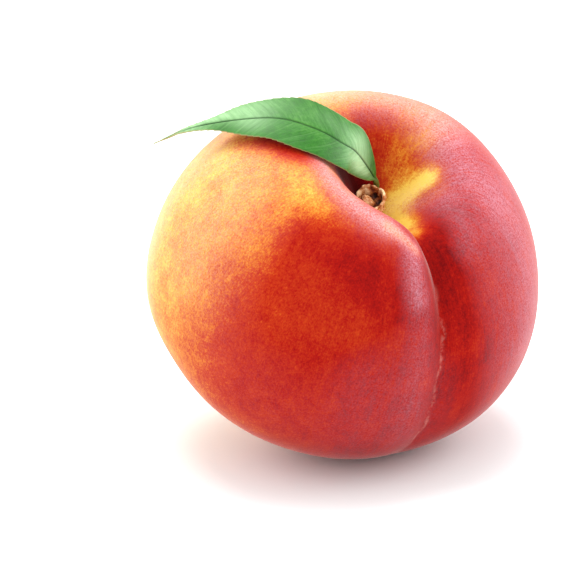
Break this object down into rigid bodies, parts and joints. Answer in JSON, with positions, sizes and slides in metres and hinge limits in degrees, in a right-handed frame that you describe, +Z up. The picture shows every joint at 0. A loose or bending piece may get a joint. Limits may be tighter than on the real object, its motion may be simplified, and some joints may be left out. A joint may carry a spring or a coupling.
{
  "type": "peach",
  "caption": "Whole ripe peach with a suture cleft, a stem cavity holding a short woody stub, and a lance-shaped leaf over its shoulder, resting on a small flat spot.",
  "frame": {"origin": "middle of the whole part's footprint, on the surface it rests on", "axes": "+Z up from the surface; -Y is the side that the stem end leans towards; the leaf's tip points along -X"},
  "size_m": [0.0806, 0.0796, 0.0751],
  "materials": {
    "peach_skin": "velvety skin, yellow to deep red, with a pale fuzz",
    "stem_bark": "rough dry bark",
    "leaf_green": "smooth waxy green, paler beneath"
  },
  "bodies": {
    "root": {"peach_fruit": "peach_skin", "stem_stub": "stem_bark", "leaf": "leaf_green"}
  },
  "joints": []
}
